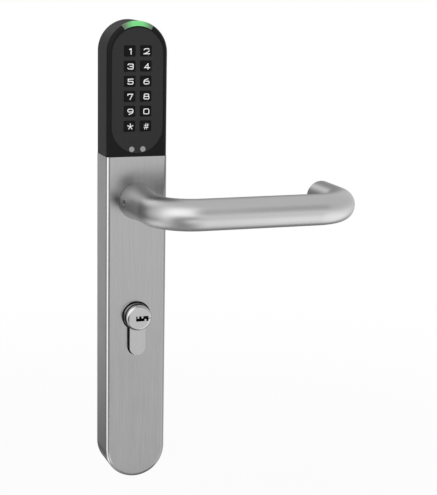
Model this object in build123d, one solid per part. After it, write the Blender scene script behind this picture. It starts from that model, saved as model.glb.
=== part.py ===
from build123d import *
import math
import os

os.makedirs("parts", exist_ok=True)

# Outside unit of a keypad lock for a narrow door stile, in millimetres.
# X runs along the lever, Y goes into the door and Z is up.
# The origin is where the spindle axis meets the door face.
# A depth is a distance in front of the door face, so it is minus Y.

# Escutcheon
plate_width = 38.0
height_above_spindle = 109.0
height_below_spindle = 177.5
plate_depth = 23.2
seam_height = 27.4
seam_gap = 0.15
edge_round = 2.1
cover_wall = 1.5
gasket_thickness = 0.8
gasket_inset = 0.6
base_thickness = 2.5
shell_clearance = 0.25
cut_margin = 5.0

# Reader head
head_inset = 0.2
head_wall = 2.0
head_front = 2.4
head_round = 2.3
panel_side_margin = 2.9
panel_top_margin = 4.0
panel_low_margin = 1.9
panel_thickness = 1.2
panel_sink = 0.15
panel_clearance = 0.06
panel_edge_break = 0.12
guide_band = 3.2
guide_half_angle = 31.5
guide_leg = 1.6

# Keypad
key_names = ("1", "2", "3", "4", "5", "6", "7", "8", "9", "0", "star", "hash")
key_top_margin = 14.0
key_side_margin = 7.7
key_column_gap = 3.2
key_row_gap = 2.85
key_contact_gap = 14.05
key_corner = 0.7
key_edge_break = 0.25
key_gap = 0.2
key_proud = 0.25
key_flange = 0.65
key_flange_thickness = 0.8
key_flange_clearance = 0.4
dome_height = 2.0
dome_foot_radius = 3.0
dome_top_radius = 1.9
mat_thickness = 0.8
mat_margin = 0.8
contact_radius = 1.65
contact_shank_radius = 1.0
contact_pitch = 7.0
contact_margin = 2.5
contact_proud = 0.1

# Circuit board
board_thickness = 1.2
board_clearance = 0.3
led_count = 3
led_spread_angle = 18.0
led_length = 2.0
led_width = 1.2
led_height = 0.7
led_gap = 0.15
connector_width = 12.0
connector_height = 5.0
connector_length = 6.0
connector_wall = 0.8
cable_hole_radius = 6.0
cable_above_seam = 22.6
chip_size = 9.0
chip_thickness = 1.4
chip_top_margin = 27.0
buzzer_radius = 4.5
buzzer_length = 4.0
buzzer_top_margin = 12.0
buzzer_bore_radius = 1.0

# Screws from the door side
fit_gap = 0.05
head_screw_edge = 6.0
head_screw_low_margin = 10.6
head_screw_top_margin = 16.0
head_screw_radius = 1.25
head_screw_head_radius = 2.4
head_screw_bite = 2.4
spacer_radius = 2.5
cover_screw_edge = 7.0
cover_screw_radius = 1.5
cover_screw_head_radius = 2.8
cover_screw_bite = 8.0
cover_boss_radius = 3.2
screw_head_depth = 1.5
hub_screw_margin = 2.9
hub_screw_bite = 8.0

# Fixing posts
post_spacing = 215.0
post_upper_height = 70.0
post_radius = 4.0
post_flange_radius = 5.5
post_flange_thickness = 2.0
post_length = 28.0
post_thread_radius = 2.1
post_thread_depth = 22.0

# Lever
neck_gap = 0.25
neck_radius = 11.25
grip_radius = 9.5
lever_wall = 1.5
grip_offset = 53.2
neck_bend = 23.0
return_bend = 22.2
lever_reach = 118.9
return_end_gap = 7.4
collar_thickness = 1.5
insert_length = 20.0
stub_size = 9.0
stub_length = 18.0
set_screw_radius = 2.4
set_screw_depth = 7.5
set_screw_sink = 0.9
cap_thickness = 1.2
cap_spigot = 5.0

# Hub and clutch
hub_side_gap = 2.5
hub_low = 17.0
hub_high = 18.5
hub_corner = 3.0
hub_front_gap = 2.4
hub_clearance = 0.3
ring_radius = 13.0
ring_length = 6.0
web_thickness = 2.2
shaft_radius = 8.0
bush_radius = 9.5
bush_flange_radius = 12.0
bush_flange_thickness = 1.2
spring_wall = 4.0
spring_length = 1.8
spring_end_gap = 0.2
stop_radius = 15.2
stop_half_angle = 10.0
stop_play = 0.8
lever_travel = 45.0
follower_radius = 9.0
journal_radius = 7.0
journal_recess = 0.2
spindle_size = 8.0
spindle_length = 50.0
spindle_pin_radius = 1.25
clutch_pin_radius = 1.5
clutch_pin_head_radius = 2.4
clutch_pin_head = 1.0
clutch_engagement = 2.2
clutch_travel = 2.4
clutch_spring_length = 1.0
shoe_arc_radius = 17.0
shoe_thickness = 2.2
shoe_gap = 0.25
shoe_lead_angle = 10.0
shoe_tail_angle = 56.0
shoe_slide_gap = 0.1
shoe_side_room = 2.0
nut_width = 9.0
nut_length = 12.5
screw_radius = 1.5
screw_thread_length = 10.0
motor_width = 10.0
motor_thickness = 6.6
motor_base_gap = 0.2
motor_length = 15.0
motor_room = 3.0
motor_boss_radius = 2.0
motor_boss = 1.0
motor_shaft_radius = 0.75
motor_shaft_length = 5.0
strap_wall = 2.0
strap_length = 9.0
strap_foot = 5.5

# Profile cylinder
cylinder_below = 72.0
euro_barrel = 17.0
euro_lobe = 10.0
euro_height = 33.0
euro_cover_clearance = 0.7
euro_base_clearance = 0.05
cylinder_proud = 3.4
plug_head_proud = 3.3
plug_head_radius = 8.2
plug_head_round = 2.0
plug_radius = 6.5
running_gap = 0.05
plug_face_gap = 0.1
cylinder_inner_length = 33.0
cam_centre = 21.5
cam_slot_length = 12.0
cam_width = 9.0
cam_ring_radius = 8.0
cam_nose_radius = 15.0
cam_nose_width = 8.0
cam_clearance = 0.6
cam_rest_angle = 30.0
tail_size = 6.2
clip_thickness = 0.9
clip_width = 1.9
clip_opening = 5.0
fixing_hole_radius = 2.1
fixing_hole_height = 5.0
keyway_left = 2.05
keyway_right = 5.85
keyway_above = 1.15
keyway_below = 2.05
keyway_depth = 26.5
upper_ward_places = (1.4, 4.0)
lower_ward_place = 5.95
ward_depth = 1.35
ward_width = 1.1
slit_width = 0.4
pin_count = 5
pin_pitch = 4.6
pin_radius = 1.4
first_pin_offset = 10.4
key_pin_tip = 0.5
driver_pin_length = 5.0
pin_spring_length = 9.0
pin_gap = 0.2

# Derived places
base_back = gasket_thickness
base_front = base_back + base_thickness
head_low = seam_height + seam_gap
head_side = head_inset + head_wall
head_arc_height = height_above_spindle - plate_width / 2
panel_width = plate_width - 2 * panel_side_margin
panel_low = head_low + panel_low_margin
panel_high = height_above_spindle - panel_top_margin
panel_face = plate_depth - panel_sink
panel_back = panel_face - panel_thickness
ledge_back = plate_depth - head_front
flange_back = panel_back - key_flange_thickness
mat_front = flange_back - dome_height
board_front = mat_front - mat_thickness
board_back = board_front - board_thickness
contact_height = panel_low + contact_margin
key_rows = len(key_names) // 2
key_low_row = contact_height + key_contact_gap
key_top_row = panel_high - key_top_margin
key_pitch_z = (key_top_row - key_low_row) / (key_rows - 1)
key_height = key_pitch_z - key_row_gap
key_width = (panel_width - key_column_gap) / 2 - key_side_margin
key_pitch_x = key_width + key_column_gap
cable_height = seam_height + cable_above_seam
chip_height = height_above_spindle - chip_top_margin
buzzer_height = height_above_spindle - buzzer_top_margin
post_lower_height = post_upper_height - post_spacing
post_heights = (post_upper_height, post_lower_height)
neck_start = plate_depth + neck_gap
tube_start = neck_start + collar_thickness
grip_depth = plate_depth + grip_offset
return_end_depth = plate_depth + return_end_gap
bend_start = grip_depth - neck_bend
flare_run = bend_start - neck_start
set_screw_place = neck_start + set_screw_depth
hub_width = plate_width - 2 * hub_side_gap
hub_front = plate_depth - cover_wall - hub_front_gap
clutch_depth = base_front + motor_base_gap + motor_thickness / 2
ring_back = clutch_depth - ring_length / 2
ring_front = ring_back + ring_length
web_front = ring_front + web_thickness
cavity_radius = ring_radius + hub_clearance
cavity_front = web_front + spring_length + 2 * spring_end_gap
shoe_back = base_front + shoe_slide_gap
shoe_front = ring_front + shoe_slide_gap
shoe_face = ring_radius + shoe_gap
nut_low = -(shoe_face + nut_length)
motor_top = nut_low - clutch_travel - motor_room
motor_boss_top = motor_top + motor_boss
cylinder_axis = -cylinder_below
lobe_low = cylinder_axis + euro_barrel / 2 - euro_height
body_face = plate_depth + cylinder_proud
plug_back = body_face + plug_face_gap
plug_face = plug_back + plug_head_proud
first_pin_depth = plug_face - first_pin_offset
key_pin_start = keyway_below - key_pin_tip
cam_slot_front = -(cam_centre - cam_slot_length / 2)
cam_slot_back = -(cam_centre + cam_slot_length / 2)
cover_boss_heights = (
    (cylinder_axis + euro_barrel / 2 + motor_top - motor_length) / 2,
    (lobe_low + post_lower_height) / 2,
)
head_screw_heights = (seam_height + head_screw_low_margin, height_above_spindle - head_screw_top_margin)
head_screw_x = plate_width / 2 - head_screw_edge
head_screw_places = [(side * head_screw_x, height) for side in (-1, 1) for height in head_screw_heights]
cover_screw_x = plate_width / 2 - cover_screw_edge
cover_screw_places = [(side * cover_screw_x, height) for side in (-1, 1) for height in cover_boss_heights]
hub_screw_x = hub_width / 2 - hub_screw_margin
hub_screw_places = [
    (-hub_screw_x, hub_high - hub_screw_margin),
    (hub_screw_x, hub_high - hub_screw_margin),
    (hub_screw_x, hub_screw_margin - hub_low),
]
strap_screw_x = motor_width / 2 + strap_wall + strap_foot / 2
strap_height = motor_top - motor_length / 2
strap_screw_places = [(side * strap_screw_x, strap_height) for side in (-1, 1)]


# Shared outlines and solids


def slab(outline, near, far):
    """Extrude an outline drawn in X and Z from one depth to a greater one."""
    return extrude(Plane.XZ.offset(near) * outline, amount=far - near)


def disc(radius, x=0, z=0):
    """Round outline about a point of the X and Z plane."""
    return Pos(x, z) * Circle(radius)


def bar(width, low, high, x=0):
    """Upright rectangle between two heights."""
    return Pos(x, (low + high) / 2) * Rectangle(width, high - low)


def stadium(width, low, high):
    """Upright outline with half round ends."""
    return Pos(0, (low + high) / 2) * SlotOverall(high - low, width, rotation=90)


def plate_outline(inset):
    """Outline of the whole escutcheon, drawn in by an even amount."""
    return stadium(plate_width - 2 * inset, inset - height_below_spindle, height_above_spindle - inset)


def band(low, high):
    """Rectangle wider than the escutcheon, for keeping or cutting a stretch of it."""
    return bar(plate_width + 2 * cut_margin, low, high)


def sector(inner, outer, start, stop):
    """Ring segment about the origin, with angles from +Z towards +X in degrees."""
    reach = 2 * outer
    corners = [(0, 0)]
    for angle in (start, (start + stop) / 2, stop):
        corners.append((reach * math.sin(math.radians(angle)), reach * math.cos(math.radians(angle))))
    return (Circle(outer) - Circle(inner)) & make_face(Polyline(*corners, close=True))


def turned(points):
    """Solid of revolution about the Y axis from (radius, depth) points."""
    return revolve(make_face(Polyline(*[(r, -d) for r, d in points], close=True)), Axis.Y)


def rod_x(radius, start, stop, depth, z):
    """Round bar along X."""
    return Pos((start + stop) / 2, -depth, z) * Rot(0, 90, 0) * Cylinder(radius, stop - start)


def rod_z(radius, low, high, depth):
    """Round bar along Z on the middle plane."""
    return Pos(0, -depth, (low + high) / 2) * Cylinder(radius, high - low)


def rounded_block(inset, far, radius):
    """Escutcheon block from the gasket forward with its front edge rounded."""
    block = slab(plate_outline(inset), base_back, far)
    return fillet(block.faces().sort_by(Axis.Y)[0].edges(), radius)


def euro_outline(clearance):
    """Profile cylinder section, grown by a clearance."""
    foot = lobe_low + euro_lobe / 2
    return (
        disc(euro_barrel / 2 + clearance, z=cylinder_axis)
        + bar(euro_lobe + 2 * clearance, foot, cylinder_axis)
        + disc(euro_lobe / 2 + clearance, z=foot)
    )


def panel_outline(clearance):
    """Keypad panel section, grown by a clearance."""
    return stadium(panel_width + 2 * clearance, panel_low - clearance, panel_high + clearance)


def key_field(margin):
    """Rectangle round all the keys."""
    width = key_pitch_x + key_width + 2 * margin
    return bar(width, key_low_row - key_height / 2 - margin, key_top_row + key_height / 2 + margin)


def key_places():
    """Name and middle of every key, row by row."""
    for index, name in enumerate(key_names):
        side = -1 if index % 2 == 0 else 1
        yield f"key_{name}", side * key_pitch_x / 2, key_top_row - (index // 2) * key_pitch_z


def back_screws(places, radius, head_radius, reach):
    """Cheese head screws that sit flush in the back of the base plate."""
    seat = base_back + screw_head_depth
    screws = []
    for x, z in places:
        screws.append(slab(disc(head_radius, x, z), base_back, seat) + slab(disc(radius, x, z), seat, reach))
    return Part() + screws


def screw_holes(places, radius, near, far):
    """Clearance holes for screws along Y."""
    return [slab(disc(radius + fit_gap, x, z), near, far) for x, z in places]


# Escutcheon pieces


def cut_through_plates(clearance):
    """Outlines that pass through the base plate and the gasket."""
    posts = [disc(post_radius + fit_gap, z=z) for z in post_heights]
    return [
        euro_outline(clearance),
        disc(journal_radius + running_gap),
        disc(cable_hole_radius, z=cable_height),
    ] + posts


def door_gasket():
    """Soft sheet between the unit and the door."""
    outline = plate_outline(gasket_inset)
    for opening in cut_through_plates(euro_cover_clearance):
        outline -= opening
    return slab(outline, 0, base_back)


def base_plate():
    """Steel plate that carries every other piece."""
    inset = max(cover_wall, head_side) + shell_clearance
    outline = plate_outline(inset)
    for opening in cut_through_plates(euro_base_clearance):
        outline -= opening
    plate = slab(outline, base_back, base_front)
    seat = base_back + screw_head_depth
    for places, radius, head_radius in (
        (head_screw_places, head_screw_radius, head_screw_head_radius),
        (cover_screw_places, cover_screw_radius, cover_screw_head_radius),
        (hub_screw_places, cover_screw_radius, cover_screw_head_radius),
        (strap_screw_places, head_screw_radius, head_screw_head_radius),
    ):
        plate -= screw_holes(places, head_radius, base_back, seat)
        plate -= screw_holes(places, radius, seat, base_front)
    return plate


def fixing_posts():
    """Threaded posts that take the through bolts from the inside of the door."""
    posts = []
    for z in post_heights:
        post = slab(disc(post_radius, z=z), -post_length, base_front)
        post += slab(disc(post_flange_radius, z=z), base_front, base_front + post_flange_thickness)
        post -= slab(disc(post_thread_radius, z=z), -post_length, post_thread_depth - post_length)
        posts.append(post)
    return Part() + posts


def cover_plate():
    """Brushed steel cover, open at the back and at the seam."""
    shell = rounded_block(0, plate_depth, edge_round)
    inner_round = max(edge_round - cover_wall, fit_gap)
    shell -= rounded_block(cover_wall, plate_depth - cover_wall, inner_round)
    for x, z in cover_screw_places:
        boss = slab(disc(cover_boss_radius, x, z), base_front, plate_depth - cover_wall / 2)
        boss -= slab(disc(cover_screw_radius + fit_gap, x, z), base_front, base_front + cover_screw_bite)
        shell += boss
    shell -= slab(band(seam_height, height_above_spindle + cut_margin), 0, plate_depth + cut_margin)
    shell -= slab(disc(bush_radius + fit_gap), plate_depth - cover_wall - cut_margin, plate_depth)
    shell -= slab(euro_outline(euro_cover_clearance), plate_depth - cover_wall - cut_margin, plate_depth)
    return shell


def cover_screws():
    """Screws that hold the cover to the base plate."""
    return back_screws(
        cover_screw_places, cover_screw_radius, cover_screw_head_radius, base_front + cover_screw_bite
    )


# Reader head pieces


def reader_housing():
    """Moulded head with a floor, a panel recess, a key window and screw bosses."""
    shell = rounded_block(head_inset, plate_depth, head_round)
    shell -= slab(band(-height_below_spindle - cut_margin, head_low), 0, plate_depth + cut_margin)
    cavity = plate_outline(head_side) & band(head_low + head_wall, height_above_spindle)
    shell -= slab(cavity, base_back, ledge_back)
    shell -= slab(plate_outline(head_side), base_back, base_front)
    shell -= slab(panel_outline(panel_clearance), panel_back, plate_depth)
    shell -= slab(key_field(key_flange + key_flange_clearance), ledge_back, plate_depth)
    shell -= slab(guide_front_outline(), ledge_back, plate_depth)
    for x, z in contact_places():
        shell -= slab(disc(contact_shank_radius + fit_gap, x, z), ledge_back, plate_depth)
    for x, z in head_screw_places:
        shell += slab(disc(spacer_radius, x, z), board_front, ledge_back)
    shell -= screw_holes(head_screw_places, head_screw_radius, board_front, board_front + head_screw_bite)
    return shell


def keypad_panel():
    """Flat stadium panel with a window for each key and two contact holes."""
    outline = panel_outline(0)
    for _, x, z in key_places():
        window = RectangleRounded(key_width + 2 * key_gap, key_height + 2 * key_gap, key_corner)
        outline -= Pos(x, z) * window
    for x, z in contact_places():
        outline -= disc(contact_radius + fit_gap, x, z)
    panel = slab(outline, panel_back, panel_face)
    rim = panel.faces().sort_by(Axis.Y)[0].outer_wire().edges()
    return chamfer(rim, panel_edge_break)


def guide_front_outline():
    """Ring segment along the top of the head that the light shows in."""
    radius = plate_width / 2
    return Pos(0, head_arc_height) * sector(
        radius - guide_band, radius + cut_margin, -guide_half_angle, guide_half_angle
    )


def light_guide():
    """Clear bar that follows the rounded top edge, with a leg down to the lamps."""
    crown = rounded_block(head_inset, plate_depth, head_round)
    crown &= slab(guide_front_outline(), ledge_back, plate_depth)
    wall = plate_width / 2 - head_side
    leg = Pos(0, head_arc_height) * sector(wall - guide_leg, wall, -guide_half_angle, guide_half_angle)
    return crown + slab(leg, board_front + led_height + led_gap, ledge_back)


def key_cap(x, z):
    """One key with a flange that stops against the back of the panel."""
    cap = slab(Pos(x, z) * RectangleRounded(key_width, key_height, key_corner), panel_back,
               panel_face + key_proud)
    cap = chamfer(cap.faces().sort_by(Axis.Y)[0].edges(), key_edge_break)
    skirt = Pos(x, z) * Rectangle(key_width + 2 * key_flange, key_height + 2 * key_flange)
    return cap + slab(skirt, flange_back, panel_back)


def key_mat():
    """Silicone sheet with a collapsing dome under every key."""
    mat = slab(key_field(key_flange + mat_margin), board_front, mat_front)
    domes = []
    for _, x, z in key_places():
        dome = Plane.XZ.offset(mat_front) * Pos(x, z, dome_height / 2)
        domes.append(dome * Cone(dome_foot_radius, dome_top_radius, dome_height))
    return mat + domes


def contact_places():
    """Middles of the two supply contacts under the keys."""
    return [(side * contact_pitch / 2, contact_height) for side in (-1, 1)]


def contact_pins():
    """Two supply contacts that show on the panel and reach the board."""
    pins = []
    for x, z in contact_places():
        head = slab(disc(contact_radius, x, z), panel_back, panel_face + contact_proud)
        pins.append(head + slab(disc(contact_shank_radius, x, z), board_front, panel_back))
    return Part() + pins


def keypad_board():
    """Circuit board held between the head bosses and the spacers."""
    inset = head_side + board_clearance
    outline = plate_outline(inset) & band(head_low + head_wall + board_clearance, height_above_spindle)
    board = slab(outline, board_back, board_front)
    return board - screw_holes(head_screw_places, head_screw_radius, board_back, board_front)


def status_leds():
    """Lamps that shine into the leg of the light guide."""
    radius = plate_width / 2 - head_side - guide_leg / 2
    lamps = []
    for index in range(led_count):
        angle = (index - (led_count - 1) / 2) * led_spread_angle
        x = radius * math.sin(math.radians(angle))
        z = head_arc_height + radius * math.cos(math.radians(angle))
        chip = Pos(x, z) * Rot(0, 0, -angle) * Rectangle(led_length, led_width)
        lamps.append(slab(chip, board_front, board_front + led_height))
    return Part() + lamps


def connector_socket():
    """Open socket on the back of the board over the cable hole."""
    low = cable_height - connector_height / 2
    high = cable_height + connector_height / 2
    block = slab(bar(connector_width, low, high), board_back - connector_length, board_back)
    mouth = bar(connector_width - 2 * connector_wall, low + connector_wall, high - connector_wall)
    return block - slab(mouth, board_back - connector_length, board_back - connector_wall)


def control_chip():
    """Controller on the back of the board."""
    package = bar(chip_size, chip_height - chip_size / 2, chip_height + chip_size / 2)
    return slab(package, board_back - chip_thickness, board_back)


def buzzer():
    """Round sounder on the back of the board."""
    can = slab(disc(buzzer_radius, z=buzzer_height), board_back - buzzer_length, board_back)
    bore = slab(disc(buzzer_bore_radius, z=buzzer_height), board_back - buzzer_length,
                board_back - buzzer_length / 2)
    return can - bore


def head_spacers():
    """Sleeves between the base plate and the board."""
    sleeves = []
    for x, z in head_screw_places:
        ring = disc(spacer_radius, x, z) - disc(head_screw_radius + fit_gap, x, z)
        sleeves.append(slab(ring, base_front, board_back))
    return Part() + sleeves


def head_screws():
    """Long screws that clamp base plate, spacers, board and head."""
    return back_screws(
        head_screw_places, head_screw_radius, head_screw_head_radius, board_front + head_screw_bite
    )


# Lever pieces


def neck_radius_at(run):
    """Outer radius of the flared neck at a distance from its start."""
    left = 1 - min(run / flare_run, 1)
    return grip_radius + (neck_radius - grip_radius) * left**2


def neck_curve(start, stop, shrink):
    """Flared side of the neck between two depths, pulled in by a wall."""
    middle = (start + stop) / 2
    first, half, last = (neck_radius_at(depth - neck_start) - shrink for depth in (start, middle, stop))
    return Bezier((first, -start), (2 * half - (first + last) / 2, -middle), (last, -stop))


def lever_handle():
    """Bent steel tube: flared neck, grip and a return towards the door."""
    outside = neck_curve(tube_start, bend_start, 0)
    inside = neck_curve(tube_start, bend_start, lever_wall)
    ends = [Line(outside @ 0, inside @ 0), Line(outside @ 1, inside @ 1)]
    neck = revolve(make_face([outside, inside, *ends]), Axis.Y)
    turn_x = lever_reach - return_bend
    turn_depth = grip_depth - return_bend
    path = Wire(
        [
            CenterArc((neck_bend, -bend_start), neck_bend, 180, 90),
            Line((neck_bend, -grip_depth), (turn_x, -grip_depth)),
            CenterArc((turn_x, -turn_depth), return_bend, 270, 90),
            Line((lever_reach, -turn_depth), (lever_reach, -return_end_depth - cap_thickness)),
        ]
    )
    section_plane = Plane(origin=(0, -bend_start, 0), x_dir=(0, 0, 1), z_dir=(0, -1, 0))
    grip = sweep(section_plane * (Circle(grip_radius) - Circle(grip_radius - lever_wall)), path=path)
    tube = neck + grip
    return tube - rod_x(set_screw_radius + fit_gap, -2 * neck_radius, 0, set_screw_place, 0)


def lever_insert():
    """Solid neck core with a collar and a square socket for the hub."""
    core_end = neck_start + insert_length
    collar = neck_curve(neck_start, tube_start, 0)
    side = neck_curve(tube_start, core_end, lever_wall + fit_gap)
    back = Polyline(collar @ 0, (0, -neck_start), (0, -core_end), side @ 1)
    core = revolve(make_face([collar, Line(collar @ 1, side @ 0), side, back]), Axis.Y)
    socket = stub_size + 2 * fit_gap
    core -= slab(Rectangle(socket, socket), neck_start, neck_start + stub_length + fit_gap)
    return core - rod_x(set_screw_radius + fit_gap, -2 * neck_radius, 0, set_screw_place, 0)


def lever_set_screw():
    """Grub screw that clamps the lever on the hub stub."""
    outer = set_screw_sink - neck_radius_at(set_screw_depth)
    screw = rod_x(set_screw_radius, outer, -stub_size / 2, set_screw_place, 0)
    hexagon = Plane(origin=(outer, -set_screw_place, 0), z_dir=(1, 0, 0))
    hexagon *= RegularPolygon(set_screw_radius / 2, 6)
    return screw - extrude(hexagon, amount=set_screw_radius)


def lever_end_cap():
    """Flat cap pressed into the return end of the tube."""
    seat = return_end_depth + cap_thickness
    cap = slab(disc(grip_radius, x=lever_reach), return_end_depth, seat)
    spigot = disc(grip_radius - lever_wall - fit_gap, x=lever_reach)
    return cap + slab(spigot, seat, seat + cap_spigot)


# Hub pieces


def hub_housing():
    """Cast frame on the base plate that carries the lever bush and encloses the hub."""
    outline = bar(hub_width, -hub_low, hub_high)
    block = slab(outline, base_front, hub_front)
    block = fillet(block.edges().filter_by(Axis.Y), hub_corner)
    block -= slab(disc(cavity_radius), base_front, cavity_front)
    block -= slab(disc(bush_radius + fit_gap), cavity_front, hub_front)
    slot = sector(shaft_radius, stop_radius + hub_clearance, -stop_half_angle - stop_play,
                  stop_half_angle + lever_travel + stop_play)
    block -= slab(slot, base_front, web_front + hub_clearance)
    window_right = nut_width / 2 + shoe_side_room
    window_left = hub_width / 2 + cut_margin
    window = bar(window_left + window_right, -hub_low - cut_margin, -nut_width / 2,
                 x=(window_right - window_left) / 2)
    block -= slab(window, base_front, shoe_front + hub_clearance)
    return block - screw_holes(hub_screw_places, cover_screw_radius, base_front, base_front + hub_screw_bite)


def hub_screws():
    """Screws that hold the hub housing to the base plate."""
    return back_screws(
        hub_screw_places, cover_screw_radius, cover_screw_head_radius, base_front + hub_screw_bite
    )


def lever_bush():
    """Flanged plastic bush between the housing, the cover and the lever hub."""
    bore = disc(shaft_radius + running_gap)
    sleeve = slab(disc(bush_radius) - bore, cavity_front, plate_depth)
    return sleeve + slab(disc(bush_flange_radius) - bore, hub_front, hub_front + bush_flange_thickness)


def clutch_bore(radius, start, stop):
    """Round bar from the hub axis downward, in the plane of the clutch."""
    return rod_z(radius, -stop, -start, clutch_depth)


def drive_hub():
    """Hub turned by the lever: square stub, shaft, web with a stop lug and a clutch ring."""
    hub = turned(
        [
            (0, neck_start),
            (shaft_radius, neck_start),
            (shaft_radius, web_front),
            (ring_radius, web_front),
            (ring_radius, ring_back),
            (follower_radius + running_gap, ring_back),
            (follower_radius + running_gap, ring_front),
            (0, ring_front),
        ]
    )
    hub += slab(Rectangle(stub_size, stub_size), neck_start, neck_start + stub_length)
    lug = sector(shaft_radius, stop_radius, -stop_half_angle, stop_half_angle)
    hub += slab(lug, ring_front, web_front)
    hub -= clutch_bore(clutch_pin_radius + running_gap, 0, ring_radius + cut_margin)
    head_room = clutch_pin_head + clutch_spring_length
    return hub - clutch_bore(
        clutch_pin_head_radius + running_gap, ring_radius - head_room, ring_radius + cut_margin
    )


def return_spring():
    """Torsion spring that brings the lever back to level."""
    inner = shaft_radius + hub_clearance
    ring = disc(inner + spring_wall) - disc(inner)
    return slab(ring, web_front + spring_end_gap, cavity_front - spring_end_gap)


def spindle_hub():
    """Follower inside the clutch ring that turns the square spindle."""
    hub = slab(disc(follower_radius), ring_back, ring_front - hub_clearance)
    hub += slab(disc(journal_radius), journal_recess, ring_back)
    socket = spindle_size + 2 * fit_gap
    hub -= slab(Rectangle(socket, socket), journal_recess, ring_front)
    hub -= clutch_bore(clutch_pin_radius + 2 * running_gap, spindle_size / 2, follower_radius + cut_margin)
    reach = 2 * follower_radius
    return hub - rod_x(spindle_pin_radius + fit_gap, -reach, reach, clutch_depth, 0)


def square_spindle():
    """Square bar that reaches into the lock case."""
    end = ring_front - 2 * hub_clearance
    bar_solid = slab(Rectangle(spindle_size, spindle_size), -spindle_length, end)
    return bar_solid - rod_x(spindle_pin_radius + fit_gap, -spindle_size, spindle_size, clutch_depth, 0)


def spindle_pin():
    """Cross pin that keeps the spindle in its hub."""
    reach = follower_radius - hub_clearance
    return rod_x(spindle_pin_radius, -reach, reach, clutch_depth, 0)


# Clutch pieces


def clutch_pin():
    """Headed pin in the clutch ring, shown pushed into the follower."""
    pin = clutch_bore(clutch_pin_radius, follower_radius - clutch_engagement, ring_radius)
    return pin + clutch_bore(clutch_pin_head_radius, ring_radius - clutch_pin_head, ring_radius)


def clutch_spring():
    """Spring under the head of the clutch pin."""
    seat = ring_radius - clutch_pin_head - clutch_spring_length
    sleeve = clutch_bore(clutch_pin_head_radius, seat, seat + clutch_spring_length)
    return sleeve - clutch_bore(clutch_pin_radius + 2 * running_gap, seat, seat + clutch_spring_length)


def clutch_shoe():
    """Arc shoe with a nut that the motor screw moves towards the hub."""
    centre = shoe_arc_radius - shoe_face
    arc = sector(shoe_arc_radius, shoe_arc_radius + shoe_thickness, -shoe_lead_angle, shoe_tail_angle)
    shoe = slab(Pos(0, centre) * Rot(0, 0, 180) * arc, shoe_back, shoe_front)
    nut = bar(nut_width, nut_low, -shoe_face - shoe_thickness / 2)
    shoe += slab(nut, shoe_back, shoe_front)
    arc_room = slab(disc(shoe_arc_radius, z=centre), shoe_back, shoe_front)
    shoe -= arc_room
    top = nut_low + screw_thread_length - motor_room + clutch_travel
    return shoe - rod_z(screw_radius + running_gap, nut_low, top, clutch_depth)


def lead_screw():
    """Motor screw with its shaft in the motor."""
    low = motor_boss_top + fit_gap
    thread = rod_z(screw_radius, low, nut_low + screw_thread_length - motor_room - fit_gap, clutch_depth)
    return thread + rod_z(motor_shaft_radius, motor_boss_top - motor_shaft_length, low, clutch_depth)


def motor_section(clearance):
    """Flat sided motor section in X and Y."""
    flat = Rectangle(motor_width + 2 * clearance, motor_thickness + 2 * clearance)
    return Pos(0, -clutch_depth) * (Circle(motor_width / 2 + clearance) & flat)


def clutch_motor():
    """Small flat motor below the hub."""
    can = extrude(Plane.XY.offset(motor_top - motor_length) * motor_section(0), amount=motor_length)
    can += rod_z(motor_boss_radius, motor_top, motor_boss_top, clutch_depth)
    return can - rod_z(
        motor_shaft_radius + running_gap, motor_boss_top - motor_shaft_length - fit_gap, motor_boss_top,
        clutch_depth
    )


def motor_strap():
    """Saddle that holds the motor on the base plate."""
    top = clutch_depth + motor_thickness / 2 + strap_wall
    width = motor_width + 2 * strap_wall
    arch = Pos(0, -(base_front + top) / 2) * Rectangle(width, top - base_front)
    foot = Pos(0, -base_front - strap_wall / 2) * Rectangle(width + 2 * strap_foot, strap_wall)
    saddle = arch + foot - motor_section(fit_gap)
    below = Pos(0, -(base_front + clutch_depth) / 2) * Rectangle(motor_width + 2 * fit_gap,
                                                                 clutch_depth - base_front)
    saddle -= below
    strap = extrude(Plane.XY.offset(strap_height - strap_length / 2) * saddle, amount=strap_length)
    return strap - screw_holes(strap_screw_places, head_screw_radius, base_front, base_front + strap_wall)


def strap_screws():
    """Screws that hold the motor strap."""
    return back_screws(
        strap_screw_places, head_screw_radius, head_screw_head_radius, base_front + strap_wall
    )


# Profile cylinder pieces


def pin_depths():
    """Depth of each pin tower, from the key side inward."""
    return [first_pin_depth - index * pin_pitch for index in range(pin_count)]


def pin_tower(radius, start, stop):
    """Round bars below the plug axis, one for each pin tower."""
    rods = []
    for depth in pin_depths():
        rods.append(rod_z(radius, cylinder_axis - stop, cylinder_axis - start, depth))
    return rods


def cylinder_body():
    """Profile body with the plug bore, the cam slot, pin bores and the fixing hole."""
    body = slab(euro_outline(0), -cylinder_inner_length, body_face)
    body -= slab(disc(plug_radius + running_gap, z=cylinder_axis), cam_slot_front, body_face)
    slot_low = cylinder_axis - cam_nose_radius - cam_clearance
    body -= slab(bar(2 * euro_barrel, slot_low, cylinder_axis + euro_barrel), cam_slot_back, cam_slot_front)
    driver_end = plug_radius + pin_gap + driver_pin_length + pin_spring_length
    body -= pin_tower(pin_radius + fit_gap, 0, driver_end + fit_gap)
    return body - rod_x(
        fixing_hole_radius, -euro_lobe, euro_lobe, -cam_centre, lobe_low + fixing_hole_height
    )


def keyway_outline():
    """Sideways keyway with two wards on its upper edge and one on its lower edge."""
    slot = bar(
        keyway_left + keyway_right, -keyway_below, keyway_above, x=(keyway_right - keyway_left) / 2
    )
    for place in upper_ward_places:
        slot -= Pos(place - keyway_left, keyway_above) * Rectangle(ward_width, 2 * ward_depth)
    slot -= Pos(lower_ward_place - keyway_left, -keyway_below) * Rectangle(ward_width, 2 * ward_depth)
    return Pos(0, cylinder_axis) * slot


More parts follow.
